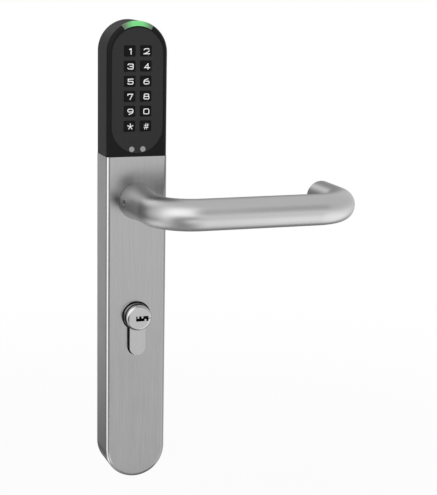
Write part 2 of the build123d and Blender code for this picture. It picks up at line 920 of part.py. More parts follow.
def cylinder_plug():
    """Turning plug with a rounded head, a keyway and a square tail for the cam."""
    head = slab(disc(plug_head_radius, z=cylinder_axis), plug_back, plug_face)
    head = fillet(head.faces().sort_by(Axis.Y)[0].edges(), plug_head_round)
    core_end = cam_slot_front - 2 * clip_thickness
    plug = head + slab(disc(plug_radius, z=cylinder_axis), core_end, plug_back)
    groove = disc(plug_radius + cut_margin, z=cylinder_axis)
    groove -= disc(plug_radius - clip_width / 2, z=cylinder_axis)
    plug -= slab(groove, cam_slot_front - clip_thickness - fit_gap, cam_slot_front - fit_gap)
    tail = Pos(0, cylinder_axis) * Rectangle(tail_size, tail_size)
    plug += slab(tail, cam_slot_back + cam_clearance, core_end)
    plug -= slab(keyway_outline(), plug_face - keyway_depth, plug_face)
    middle = cylinder_axis + (keyway_above - keyway_below) / 2
    slit = bar(plug_head_radius, middle - slit_width / 2, middle + slit_width / 2, x=keyway_right)
    plug -= slab(slit, plug_back, plug_face)
    return plug - pin_tower(pin_radius + fit_gap, key_pin_start - fit_gap, plug_radius + cut_margin)


def cylinder_cam():
    """Cam that throws the lock, on the square tail of the plug."""
    cam = Circle(cam_ring_radius) + Pos(0, -cam_nose_radius / 2) * SlotOverall(
        cam_nose_radius, cam_nose_width, rotation=90
    )
    hole = tail_size + 2 * fit_gap
    cam = Rot(0, 0, -cam_rest_angle) * cam - Rectangle(hole, hole)
    back = cam_slot_back + cam_clearance
    return slab(Pos(0, cylinder_axis) * cam, back, back + cam_width)


def plug_clip():
    """Open ring in the groove of the plug, behind the cylinder body."""
    inner = plug_radius - clip_width / 2 + fit_gap
    ring = Circle(inner + clip_width) - Circle(inner)
    ring -= Pos(0, plug_radius) * Rectangle(clip_opening, 2 * clip_width)
    near = cam_slot_front - clip_thickness
    return slab(Pos(0, cylinder_axis) * ring, near, cam_slot_front - 2 * fit_gap)


def key_pins():
    """Pins inside the plug."""
    return Part() + pin_tower(pin_radius, key_pin_start, plug_radius - pin_gap)


def driver_pins():
    """Pins below the shear line in the body."""
    start = plug_radius + pin_gap
    return Part() + pin_tower(pin_radius, start, start + driver_pin_length)


def pin_springs():
    """Springs that push the driver pins up."""
    start = plug_radius + pin_gap + driver_pin_length
    return Part() + pin_tower(pin_radius - fit_gap, start, start + pin_spring_length)


# Write every piece to its own file

pieces = [
    door_gasket, base_plate, fixing_posts, cover_plate, cover_screws,
    reader_housing, keypad_panel, light_guide, key_mat, contact_pins,
    keypad_board, status_leds, connector_socket, control_chip, buzzer, head_spacers, head_screws,
    lever_handle, lever_insert, lever_set_screw, lever_end_cap,
    hub_housing, hub_screws, lever_bush, drive_hub, return_spring,
    spindle_hub, square_spindle, spindle_pin,
    clutch_pin, clutch_spring, clutch_shoe, lead_screw, clutch_motor, motor_strap, strap_screws,
    cylinder_body, cylinder_plug, cylinder_cam, plug_clip, key_pins, driver_pins, pin_springs,
]
for piece in pieces:
    export_step(piece(), f"parts/{piece.__name__}.step")
for key_name, key_x, key_z in key_places():
    export_step(key_cap(key_x, key_z), f"parts/{key_name}.step")
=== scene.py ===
import logging
import math
from abc import ABC, abstractmethod
from dataclasses import dataclass
from enum import Enum
from typing import Mapping, Sequence, Union

import bmesh
import bpy
from mathutils import Matrix, Vector


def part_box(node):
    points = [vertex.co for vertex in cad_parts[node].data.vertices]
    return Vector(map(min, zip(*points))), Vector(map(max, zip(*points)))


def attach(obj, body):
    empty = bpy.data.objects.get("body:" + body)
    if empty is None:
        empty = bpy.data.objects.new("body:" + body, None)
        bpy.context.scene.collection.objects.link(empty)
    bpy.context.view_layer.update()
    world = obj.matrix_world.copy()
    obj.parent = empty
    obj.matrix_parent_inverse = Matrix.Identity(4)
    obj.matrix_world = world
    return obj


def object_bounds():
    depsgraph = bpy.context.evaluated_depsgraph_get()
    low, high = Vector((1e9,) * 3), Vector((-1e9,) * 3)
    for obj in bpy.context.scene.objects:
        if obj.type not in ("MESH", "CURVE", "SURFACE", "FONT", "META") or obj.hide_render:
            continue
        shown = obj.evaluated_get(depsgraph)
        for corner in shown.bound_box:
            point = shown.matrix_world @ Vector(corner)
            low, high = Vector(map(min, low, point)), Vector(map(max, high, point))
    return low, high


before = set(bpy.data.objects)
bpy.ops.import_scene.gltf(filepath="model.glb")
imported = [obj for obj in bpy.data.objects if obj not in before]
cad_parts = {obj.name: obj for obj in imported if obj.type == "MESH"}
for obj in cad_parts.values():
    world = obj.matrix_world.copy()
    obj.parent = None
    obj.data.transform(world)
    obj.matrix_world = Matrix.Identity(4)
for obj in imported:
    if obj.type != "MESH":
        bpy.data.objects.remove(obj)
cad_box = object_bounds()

log = logging.getLogger("keypad_lock")

MM = 0.001

Colour = tuple[float, float, float]
Triple = tuple[float, float, float]
Span = tuple[float, float]
Corner = tuple[float, ...]
Point = Union[Vector, Triple]
Operand = Union["Wire", float]
Paint = Union["Wire", Colour]

HALF_TURN = 180.0
WHITE = (1.0, 1.0, 1.0, 1.0)
# What a noise and a wave swing about
MEAN = 0.5


def shade(colour: Colour, factor: float) -> Colour:
    """Make a colour lighter or darker by a factor."""
    return tuple(channel * factor for channel in colour)


def grey(level: float) -> Colour:
    """Grey colour of a brightness."""
    return (level, level, level)


# Shader graphs


class Wire:
    """A shader value that takes part in Python expressions."""

    def __init__(self, graph: "Graph", socket: bpy.types.NodeSocket | None) -> None:
        """Hold a node's outlet and the graph that it belongs to."""
        self.graph = graph
        self.socket = socket

    def math(self, operation: str, *operands: Operand) -> "Wire":
        """Add a Math node.

        Args:
            operation: name of the Math node's operation.
            operands: its inputs in order.

        Returns:
            The result of the operation.
        """
        return self.graph.node("ShaderNodeMath", {"operation": operation}, dict(enumerate(operands)))

    def __add__(self, other: Operand) -> "Wire":
        """Sum."""
        return self.math("ADD", self, other)

    def __radd__(self, other: Operand) -> "Wire":
        """Reflected sum."""
        return self.math("ADD", other, self)

    def __sub__(self, other: Operand) -> "Wire":
        """Difference."""
        return self.math("SUBTRACT", self, other)

    def __rsub__(self, other: Operand) -> "Wire":
        """Reflected difference."""
        return self.math("SUBTRACT", other, self)

    def __mul__(self, other: Operand) -> "Wire":
        """Product."""
        return self.math("MULTIPLY", self, other)

    def __rmul__(self, other: Operand) -> "Wire":
        """Reflected product."""
        return self.math("MULTIPLY", other, self)

    def __truediv__(self, other: Operand) -> "Wire":
        """Quotient."""
        return self.math("DIVIDE", self, other)

    def __rtruediv__(self, other: Operand) -> "Wire":
        """Reflected quotient."""
        return self.math("DIVIDE", other, self)

    def __abs__(self) -> "Wire":
        """Size without sign."""
        return self.math("ABSOLUTE", self)

    def sine(self) -> "Wire":
        """Sine of an angle in radians."""
        return self.math("SINE", self)

    def wave(self) -> "Wire":
        """Sine of an angle in radians, brought to the range from 0 to 1."""
        return self.sine() * MEAN + MEAN

    def root(self) -> "Wire":
        """Square root."""
        return self.math("SQRT", self)

    def swing(self, span: float) -> "Wire":
        """Swing about 0 over a span, for a value from 0 to 1."""
        return (self - MEAN) * span

    def weigh(self, other: "Wire", share: float) -> "Wire":
        """Mean with another value that has a share in it."""
        return self * (1 - share) + other * share

    def step(self, low: float, high: float) -> "Wire":
        """Soft step.

        Args:
            low: value at which the step starts at 0.
            high: value at which it ends at 1.

        Returns:
            The step, from 0 to 1.
        """
        return self.graph.node(
            "ShaderNodeMapRange",
            {"interpolation_type": "SMOOTHSTEP"},
            {"Value": self, "From Min": low, "From Max": high},
        )


class Graph:
    """The node tree of one material or of the world."""

    # Places of a Mix node's sockets when it mixes colours
    MIX_SHARE = 0
    MIX_FIRST = 6
    MIX_SECOND = 7
    MIX_COLOUR = 2

    def __init__(self, tree: bpy.types.NodeTree) -> None:
        """Take over a tree and empty it."""
        self.tree = tree
        tree.nodes.clear()

    def node(
        self,
        kind: str,
        settings: Mapping[str, object] | None = None,
        sockets: Mapping[int | str, object] | None = None,
        outlet: int | str = 0,
    ) -> Wire:
        """Add a node.

        Args:
            kind: the node's type.
            settings: its properties.
            sockets: values or wires for its inlets.
            outlet: the outlet to return.

        Returns:
            The outlet, or an empty wire for a node that has none.
        """
        made = self.tree.nodes.new(kind)
        for name, value in (settings or {}).items():
            setattr(made, name, value)
        for key, value in (sockets or {}).items():
            if isinstance(value, Wire):
                self.tree.links.new(value.socket, made.inputs[key])
            else:
                made.inputs[key].default_value = value
        return Wire(self, made.outputs[outlet] if made.outputs else None)

    def place(self) -> Wire:
        """Position on the piece in the part's frame, in metres."""
        return self.node("ShaderNodeTexCoord", outlet="Object")

    def normal(self) -> Wire:
        """Direction that the surface faces in the part's frame."""
        return self.node("ShaderNodeTexCoord", outlet="Normal")

    def axes(self, vector: Wire) -> tuple[Wire, Wire, Wire]:
        """Split a vector.

        Args:
            vector: the vector to split.

        Returns:
            Its X, Y and Z.
        """
        split = self.node("ShaderNodeSeparateXYZ", sockets={0: vector})
        x, y, z = (Wire(self, outlet) for outlet in split.socket.node.outputs)
        return x, y, z

    def radius(self, centre: Span) -> Wire:
        """Distance from an axis along Y.

        Args:
            centre: X and Z of the axis.

        Returns:
            The distance in metres.
        """
        x, _, z = self.axes(self.place())
        across = x - centre[0]
        up = z - centre[1]
        return (across * across + up * up).root()

    def noise(self, size: float | Triple, detail: float = 2.0, offset: float = 0.0) -> Wire:
        """Noise over the piece.

        Args:
            size: length of its grain in metres, the same all round or along X, Y and Z.
            detail: number of finer layers.
            offset: shift that tells one noise from another.

        Returns:
            The noise, about 0.5 on average.
        """
        sizes = size if isinstance(size, tuple) else (size, size, size)
        frequency = tuple(1.0 / length for length in sizes)
        shift = (offset, offset, offset)
        stretched = self.node(
            "ShaderNodeVectorMath",
            {"operation": "MULTIPLY_ADD"},
            {0: self.place(), 1: frequency, 2: shift},
        )
        return self.node("ShaderNodeTexNoise", sockets={"Vector": stretched, "Scale": 1.0, "Detail": detail})

    def blend(self, share: Operand, first: Paint, second: Paint) -> Wire:
        """Mix two colours.

        Args:
            share: how much of the second colour is taken.
            first: colour at share 0.
            second: colour at share 1.

        Returns:
            The mixed colour.
        """
        start, end = (value if isinstance(value, Wire) else (*value, 1.0) for value in (first, second))
        return self.node(
            "ShaderNodeMix",
            {"data_type": "RGBA"},
            {self.MIX_SHARE: share, self.MIX_FIRST: start, self.MIX_SECOND: end},
            outlet=self.MIX_COLOUR,
        )

    def vary(self, share: Operand, tint: Colour, contrast: float) -> Wire:
        """Let a tint vary about its mean.

        Args:
            share: place between the darkest and the lightest, from 0 to 1.
            tint: the mean.
            contrast: how far it goes to either side, in shares of the tint.

        Returns:
            The varied tint.
        """
        return self.blend(share, shade(tint, 1 - contrast), shade(tint, 1 + contrast))

    def bump(self, height: Wire, relief: float) -> Wire:
        """Normal of a fine relief, from its height between 0 and 1 and its depth in metres."""
        return self.node("ShaderNodeBump", sockets={"Height": height, "Distance": relief, "Strength": 1.0})


# Finishes


class Lay(Enum):
    """Direction of brushing, as the stretch of its lines along X, Y and Z."""

    UPRIGHT = (1.0, 1.0, 45.0)
    ALONG_GRIP = (120.0, 1.0, 1.0)

    def sizes(self, width: float) -> Triple:
        """Grain lengths for lines of a width."""
        return tuple(width * stretch for stretch in self.value)


class Finish(ABC):
    """A finish that makes one material and gives it to any number of pieces."""

    name: str

    @abstractmethod
    def surface(self, graph: Graph) -> Wire:
        """Build the shader.

        Args:
            graph: the material's graph.

        Returns:
            The shader.
        """

    def material(self) -> bpy.types.Material:
        """Make the material, or find it if it was made before.

        Returns:
            The material.
        """
        known = bpy.data.materials.get(self.name)
        if known:
            return known
        made = bpy.data.materials.new(self.name)
        made.use_nodes = True
        graph = Graph(made.node_tree)
        graph.node("ShaderNodeOutputMaterial", sockets={"Surface": self.surface(graph)})
        return made

    def paint(self, piece: bpy.types.Object) -> None:
        """Give the finish to a piece in place of what it had.

        Args:
            piece: the piece to finish.
        """
        piece.data.materials.clear()
        piece.data.materials.append(self.material())
        log.info("%s takes %s", piece.name, self.name)


class Metal(Finish):
    """A finish with the shader of bare metal."""

    def painted_light_and_roughness(self, graph: Graph, colour: Wire, rough: Wire) -> tuple[Wire, Wire]:
        """Paint light or shade into the colour and change the roughness in places, which most pieces don't
        need.
        """
        return colour, rough

    def metal(self, graph: Graph, colour: Wire, rough: Wire, normal: Wire) -> Wire:
        """Build the shader of the metal with its painted light and changes of roughness.

        Args:
            graph: the material's graph.
            colour: colour of the metal before any painted light.
            rough: its roughness before any change in places.
            normal: normal of its relief.

        Returns:
            The shader.
        """
        # Painted light and changes of roughness, for the pieces that have them
        colour, rough = self.painted_light_and_roughness(graph, colour, rough)
        return graph.node(
            "ShaderNodeBsdfPrincipled",
            sockets={"Base Color": colour, "Metallic": 1.0, "Roughness": rough, "Normal": normal},
        )


@dataclass(frozen=True)
class BrushedMetal(Metal):
    """Metal with fine brushed lines and a cloudy polish."""

    name: str
    tint: Colour
    roughness: float
    lay: Lay
    contrast: float = 0.05
    line_width: float = 0.25 * MM
    band_width: float = 1.0 * MM
    band_share: float = 0.5
    relief: float = 0.004 * MM
    cloud_size: float = 18 * MM
    cloud_share: float = 0.2
    rough_range: float = 0.16
    cloud_range: float = 0.08

    def surface(self, graph: Graph) -> Wire:
        """Build the shader.

        Args:
            graph: the material's graph.

        Returns:
            The shader.
        """
        lines = graph.noise(self.lay.sizes(self.line_width), detail=3.0)
        bands = graph.noise(self.lay.sizes(self.band_width), offset=7.0)
        cloud = graph.noise(self.cloud_size, offset=3.0)
        grain = lines.weigh(bands, self.band_share)
        colour = graph.vary(grain.weigh(cloud, self.cloud_share), self.tint, self.contrast)
        rough = self.roughness + grain.swing(self.rough_range) + cloud.swing(self.cloud_range)
        return self.metal(graph, colour, rough, graph.bump(lines, self.relief))


@dataclass(frozen=True)
class CoverMetal(BrushedMetal):
    """Brushed metal with a painted highlight and lower roughness on its left rounded edge, painted shade on
    its right rounded edge and painted shade beside the lever's neck.

    The spans of the edges are parts of the surface's normal. A step runs from a span's first value to its
    second.
    """

    edge_facing: Span = (0.01, 0.08)
    # Painted highlight on the left rounded edge: how much lighter it is, and where
    painted_edge_highlight: float = 0.95
    highlight_across: Span = (-0.15, -0.4)
    highlight_up: Span = (-0.65, -0.25)
    polish: float = 0.25
    # Painted shade on the right rounded edge: how much darker it is, and where
    painted_edge_shade: float = 0.4
    edge_shade_lean: float = 0.5
    edge_shade_across: Span = (0.08, 0.35)
    # Painted shade beside the lever's neck, where its shadow and reflection fall: how much darker it is, and
    # where
    painted_neck_shade: float = 0.5
    neck_shade_radii: Span = (20 * MM, 11 * MM)
    neck_shade_side: Span = (-0.8, 0.6)
    neck_shade_spread: Span = (0.58, 0.95)

    def rounded_edges(self, graph: Graph) -> tuple[Wire, Wire]:
        """Find the rounded edges by where the surface faces.

        Args:
            graph: the material's graph.

        Returns:
            Shares of the painted highlight on the left edge and of the painted shade on the right edge.
        """
        across, facing, up = graph.axes(graph.normal())
        edge = abs(facing).step(*self.edge_facing)
        left = across.step(*self.highlight_across) * up.step(*self.highlight_up)
        right = (across - up * self.edge_shade_lean).step(*self.edge_shade_across)
        return left * edge, right * edge

    def painted_neck_shade_share(self, graph: Graph) -> Wire:
        """Find where shade is painted beside the neck of the lever.

        Args:
            graph: the material's graph.

        Returns:
            The share of the painted shade.
        """
        x, _, z = graph.axes(graph.place())
        radius = graph.radius((0.0, 0.0))
        lean = (x * self.neck_shade_side[0] + z * self.neck_shade_side[1]) / radius
        return radius.step(*self.neck_shade_radii) * lean.step(*self.neck_shade_spread)

    def painted_light_and_roughness(self, graph: Graph, colour: Wire, rough: Wire) -> tuple[Wire, Wire]:
        """Add the painted shade beside the neck, the painted highlight and lower roughness on the left edge,
        and the painted shade on the right edge.

        Args:
            graph: the material's graph.
            colour: colour of the metal before the painted light.
            rough: its roughness before the left edge is made smoother.

        Returns:
            The changed colour and roughness.
        """
        left, right = self.rounded_edges(graph)
        # Painted shade beside the neck
        colour = graph.blend(self.painted_neck_shade_share(graph), colour, shade(self.tint, 1 - self.painted_neck_shade))
        # Painted highlight on the left rounded edge
        colour = graph.blend(left, colour, shade(self.tint, 1 + self.painted_edge_highlight))
        # Painted shade on the right rounded edge
        colour = graph.blend(right, colour, shade(self.tint, 1 - self.painted_edge_shade))
        return colour, rough * (1 - left * self.polish)


@dataclass(frozen=True)
class LeverMetal(BrushedMetal):
    """Brushed metal that is a little rougher towards the neck of the lever."""

    neck_rough: float = 0.06
    neck_reach: Span = (70 * MM, 30 * MM)

    def painted_light_and_roughness(self, graph: Graph, colour: Wire, rough: Wire) -> tuple[Wire, Wire]:
        """Make the metal rougher towards the neck."""
        along, _, _ = graph.axes(graph.place())
        return colour, rough + along.step(*self.neck_reach) * self.neck_rough


@dataclass(frozen=True)
class TurnedMetal(Metal):
    """Metal with the fine rings that a lathe leaves about an axis along Y."""

    name: str
    tint: Colour
    roughness: float
    centre: Span = (0.0, 0.0)
    ring_pitch: float = 0.22 * MM
    ring_wander: float = 4.0
    wander_size: float = 3 * MM
    contrast: float = 0.05
    relief: float = 0.003 * MM
    cloud_size: float = 6 * MM
    cloud_share: float = 0.5
    ring_range: float = 0.08
    cloud_range: float = 0.1

    def surface(self, graph: Graph) -> Wire:
        """Build the shader.

        Args:
            graph: the material's graph.

        Returns:
            The shader.
        """
        cloud = graph.noise(self.cloud_size, offset=2.0)
        wander = graph.noise(self.wander_size, offset=5.0)
        angle = graph.radius(self.centre) * (math.tau / self.ring_pitch) + wander * self.ring_wander
        rings = angle.wave()
        colour = graph.vary(rings.weigh(cloud, self.cloud_share), self.tint, self.contrast)
        rough = self.roughness + rings.swing(self.ring_range) + cloud.swing(self.cloud_range)
        return self.metal(graph, colour, rough, graph.bump(rings, self.relief))


@dataclass(frozen=True)
class PlugMetal(TurnedMetal):
    """Turned metal with painted shade on the flank below its front face."""

    # Painted shade on the flank of the plug's head: how much darker it is, and where
    painted_flank_shade: float = 0.85
    flank_lift: float = 0.4
    flank_lean: float = 0.15
    flank_facing: Span = (0.65, 0.48)

    def painted_light_and_roughness(self, graph: Graph, colour: Wire, rough: Wire) -> tuple[Wire, Wire]:
        """Paint shade onto the flank.

        Args:
            graph: the material's graph.
            colour: colour of the metal before the painted shade.
            rough: its roughness, which stays.

        Returns:
            The changed colour and the same roughness.
        """
        across, facing, up = graph.axes(graph.normal())
        # Painted shade, strongest on the lower and right sides of the flank
        flank = (abs(facing) + up * self.flank_lift - across * self.flank_lean).step(*self.flank_facing)
        return graph.blend(flank, colour, shade(self.tint, 1 - self.painted_flank_shade)), rough


@dataclass(frozen=True)
class PlatedMetal(Metal):
    """Zinc plated or cast metal with a mottled skin."""

    name: str
    tint: Colour
    roughness: float
    spot_size: float = 1.2 * MM
    contrast: float = 0.15
    relief: float = 0.01 * MM
    cloud_spots: float = 9.0
    cloud_share: float = 0.4
    rough_range: float = 0.25

    def surface(self, graph: Graph) -> Wire:
        """Build the shader.

        Args:
            graph: the material's graph.

        Returns:
            The shader.
        """
        spots = graph.noise(self.spot_size, detail=4.0)
        cloud = graph.noise(self.cloud_spots * self.spot_size, offset=4.0)
        colour = graph.vary(spots.weigh(cloud, self.cloud_share), self.tint, self.contrast)
        rough = self.roughness + spots.swing(self.rough_range)
        return self.metal(graph, colour, rough, graph.bump(spots, self.relief))


@dataclass(frozen=True)
class WoundWire(Metal):
    """Spring steel whose turns show as ridges along an axis, with painted shade in the valleys between them.
    """

    name: str
    tint: Colour
    pitch: float
    direction: Triple
    relief: float = 0.2 * MM
    # Painted shade in the valleys between the turns, as a share of the tint
    painted_valley_shade: float = 0.25
    cloud_size: float = 2 * MM
    cloud_share: float = 0.2
    roughness: float = 0.3
    rough_range: float = 0.2

    def surface(self, graph: Graph) -> Wire:
        """Build the shader.

        Args:
            graph: the material's graph.

        Returns:
            The shader.
        """
        along = graph.node(
            "ShaderNodeVectorMath",
            {"operation": "DOT_PRODUCT"},
            {0: graph.place(), 1: self.direction},
            outlet="Value",
        )
        ridge = (along * (math.tau / self.pitch)).wave()
        cloud = graph.noise(self.cloud_size)
        # Valleys between the turns take the painted shade
        colour = graph.blend(ridge.weigh(cloud, self.cloud_share), shade(self.tint, self.painted_valley_shade), self.tint)
        rough = self.roughness + cloud * self.rough_range
        return self.metal(graph, colour, rough, graph.bump(ridge, self.relief))


@dataclass(frozen=True)
class Moulding(Finish):
    """Moulded plastic or rubber with a spark eroded grain."""

    name: str
    tint: Colour
    roughness: float
    grain: float = 0.35 * MM
    relief: float = 0.012 * MM
    contrast: float = 0.12
    specular: float = 0.5
    cloud_grains: float = 40.0
    cloud_share: float = 0.4
    rough_range: float = 0.15

    def surface(self, graph: Graph) -> Wire:
        """Build the shader.

        Args:
            graph: the material's graph.

        Returns:
            The shader.
        """
        pits = graph.noise(self.grain, detail=3.0)
        cloud = graph.noise(self.cloud_grains * self.grain, offset=6.0)
        return graph.node(
            "ShaderNodeBsdfPrincipled",
            sockets={
                "Base Color": graph.vary(pits.weigh(cloud, self.cloud_share), self.tint, self.contrast),
                "Roughness": self.roughness + pits.swing(self.rough_range),
                "Specular IOR Level": self.specular,
                "Normal": graph.bump(pits, self.relief),
            },
        )


@dataclass(frozen=True)
class LightBar(Finish):
    """Milky bar that glows in its middle and greys towards its ends."""

    name: str
    glow: Colour
    glow_ends: Colour
    body: Colour
    half_width: float
    strength: float
    fade_reach: Span = (0.2, 0.95)
    haze_size: float = 2.5 * MM
    haze_reach: float = 0.25
    haze_shade: float = 0.9
    roughness: float = 0.3
    rough_range: float = 0.15

    def surface(self, graph: Graph) -> Wire:
        """Build the shader.

        Args:
            graph: the material's graph.

        Returns:
            The shader.
        """
        x, _, _ = graph.axes(graph.place())
        haze = graph.noise(self.haze_size)
        fade = (abs(x) / self.half_width + haze.swing(self.haze_reach)).step(*self.fade_reach)
        return graph.node(
            "ShaderNodeBsdfPrincipled",
            sockets={
                "Base Color": graph.blend(haze, shade(self.body, self.haze_shade), self.body),
                "Roughness": self.roughness + haze * self.rough_range,
                "Emission Color": graph.blend(fade, self.glow, self.glow_ends),
                "Emission Strength": self.strength,
            },
        )


@dataclass(frozen=True)
class CircuitBoard(Finish):
    """Solder mask over copper tracks."""

    name: str
    mask: Colour
    track: Colour
    pitch: float = 1.6 * MM
    wander_sizes: Triple = (4 * MM, 4 * MM, 11 * MM)
    row_wander: float = 3.0
    column_wander: float = 2.0
    track_edge: Span = (0.2, 0.45)
    roughness: float = 0.35
    track_rough: float = 0.1
    relief: float = 0.03 * MM

    def surface(self, graph: Graph) -> Wire:
        """Build the shader.

        Args:
            graph: the material's graph.

        Returns:
            The shader.
        """
        x, _, z = graph.axes(graph.place())
        wander = graph.noise(self.wander_sizes, detail=0.0)
        rows = ((x / self.pitch + wander * self.row_wander) * math.tau).sine()
        columns = ((z / self.pitch + wander * self.column_wander) * math.tau).sine()
        tracks = (rows * columns).step(*self.track_edge)
        return graph.node(
            "ShaderNodeBsdfPrincipled",
            sockets={
                "Base Color": graph.blend(tracks, self.mask, self.track),
                "Roughness": self.roughness + tracks * self.track_rough,
                "Normal": graph.bump(tracks, self.relief),
            },
        )


STEEL_TINT = grey(0.545)
NICKEL_TINT = grey(0.51)
SPRING_TINT = grey(0.5)

COVER_STEEL = CoverMetal("cover_steel_brushed", grey(0.42), roughness=0.23, lay=Lay.UPRIGHT, contrast=0.2)
LEVER_STEEL = LeverMetal(
    "lever_steel_satin",
    STEEL_TINT,
    roughness=0.31,
    lay=Lay.ALONG_GRIP,
    contrast=0.03,
    relief=0.0002 * MM,
    rough_range=0.04,
)
CAP_STEEL = BrushedMetal(
    "cap_steel_satin", STEEL_TINT, roughness=0.27, lay=Lay.UPRIGHT, relief=0.0008 * MM
)
NICKEL_BODY = BrushedMetal("cylinder_nickel_satin", NICKEL_TINT, roughness=0.28, lay=Lay.UPRIGHT)
HEAD_PLASTIC = Moulding("head_plastic_black", grey(0.0063), roughness=0.42, specular=0.12)
PANEL_PLASTIC = Moulding(
    "panel_plastic_dark", grey(0.021), roughness=0.6, relief=0.006 * MM, specular=0.2
)
KEY_PLASTIC = Moulding(
    "key_plastic_black", grey(0.0035), roughness=0.5, grain=0.2 * MM, specular=0.11
)
FIGURE_PAINT = Moulding(
    "figure_paint_white", grey(0.82), roughness=0.5, relief=0.003 * MM, contrast=0.04
)
# Black rubber of the gasket, which also finishes the painted shadow ring round the plug's head
RUBBER_AND_PAINTED_SHADOW = Moulding("rubber_and_painted_shadow_black", grey(0.02), roughness=0.75, relief=0.03 * MM)
SILICONE = Moulding("mat_silicone_grey", (0.35, 0.35, 0.36), roughness=0.55, grain=0.6 * MM)
CHIP_RESIN = Moulding("chip_resin_black", (0.015, 0.015, 0.016), roughness=0.45)
SOCKET_NYLON = Moulding("socket_nylon_white", (0.75, 0.73, 0.68), roughness=0.45)
LAMP_LENS = Moulding("lamp_lens_amber", (0.75, 0.66, 0.3), roughness=0.3)
BUSH_ACETAL = Moulding("bush_acetal_white", (0.72, 0.72, 0.70), roughness=0.4, grain=0.8 * MM)
ZINC_PLATE = PlatedMetal("zinc_plate_bright", (0.58, 0.60, 0.62), roughness=0.32)
CAST_ZINC = PlatedMetal(
    "zinc_cast_grey", (0.42, 0.42, 0.43), roughness=0.5, spot_size=0.6 * MM, relief=0.03 * MM
)
MACHINED_STEEL = TurnedMetal("steel_machined", grey(0.45), roughness=0.3)
SCREW_STEEL = TurnedMetal("screw_steel_dark", (0.16, 0.16, 0.165), roughness=0.35)
BRASS = TurnedMetal("brass_machined", (0.72, 0.50, 0.22), roughness=0.28)
BOARD = CircuitBoard("board_mask_green", mask=(0.01, 0.10, 0.035), track=(0.03, 0.19, 0.07))
WIRE_ACROSS = WoundWire("spring_wire_flat", SPRING_TINT, pitch=0.9 * MM, direction=(0.0, 1.0, 0.0))
WIRE_UPRIGHT = WoundWire("spring_wire_upright", SPRING_TINT, pitch=0.8 * MM, direction=(0.0, 0.0, 1.0))


# Meshes and pieces


def mesh_of(shape: bmesh.types.BMesh, name: str) -> bpy.types.Mesh:
    """Turn a shape into a mesh.

    Args:
        shape: the shape, which is freed.
        name: the mesh's name.

    Returns:
        The mesh.
    """
    mesh = bpy.data.meshes.new(name)
    shape.to_mesh(mesh)
    shape.free()
    return mesh


def loft(name: str, sections: Sequence[Sequence[Point]], closed: bool) -> bpy.types.Mesh:
    """Make a solid through a row of sections.

    Args:
        name: the mesh's name.
        sections: corners round each section, as many in one as in the next.
        closed: whether the last section joins the first, where an open row gets two end faces.

    Returns:
        The solid's mesh.
    """
    shape = bmesh.new()
    rings = [[shape.verts.new(corner) for corner in section] for section in sections]
    following = rings[1:] + (rings[:1] if closed else [])
    for here, there in zip(rings, following):
        for side in range(len(here)):
            after = (side + 1) % len(here)
            shape.faces.new((here[side], here[after], there[after], there[side]))
    if not closed:
        shape.faces.new(rings[0])
        shape.faces.new(reversed(rings[-1]))
    bmesh.ops.recalc_face_normals(shape, faces=shape.faces)
    return mesh_of(shape, name)


def add(name: str, data: bpy.types.ID) -> bpy.types.Object:
    """Put a mesh, lamp or camera into the scene.

    Args:
        name: the object's name.
        data: what it holds.

    Returns:
        The new object.
    """
    piece = bpy.data.objects.new(name, data)
    bpy.context.scene.collection.objects.link(piece)
    return piece


def join(name: str, solids: Sequence[bpy.types.Mesh]) -> bpy.types.Object:
    """Unite solids into one piece.

    Args:
        name: the piece's name.
        solids: meshes that touch or cross.

    Returns:
        The united piece.
    """
    piece = add(name, solids[0])
    for mesh in solids[1:]:
        tool = add("stroke_tool", mesh)
        union = piece.modifiers.new("union", "BOOLEAN")
        union.operation = "UNION"
        union.solver = "EXACT"
        union.object = tool
        shown = piece.evaluated_get(bpy.context.evaluated_depsgraph_get())
        united = bpy.data.meshes.new_from_object(shown)
        piece.modifiers.clear()
        piece.data = united
        bpy.data.objects.remove(tool)
    return piece


# Sub-assemblies


class SubAssembly(ABC):
    """Pieces of the lock that are made and finished together."""

    @abstractmethod
    def finishes(self) -> Mapping[str, Finish]:
        """Finish of every node, by the node's name."""

    def build(self) -> None:
        """Make the pieces that the frame lacks."""

    def dress(self) -> None:
        """Give every node its finish."""
        for node, finish in self.finishes().items():
            finish.paint(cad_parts[node])


@dataclass
class Escutcheon(SubAssembly):
    """Steel cover, base plate, gasket and fixings."""

    def finishes(self) -> Mapping[str, Finish]:
        """Finish of every node, by the node's name."""
        return {
            "cover_plate": COVER_STEEL,
            "base_plate": ZINC_PLATE,
            "door_gasket": RUBBER_AND_PAINTED_SHADOW,
            "fixing_posts": ZINC_PLATE,
            "cover_screws": ZINC_PLATE,
        }


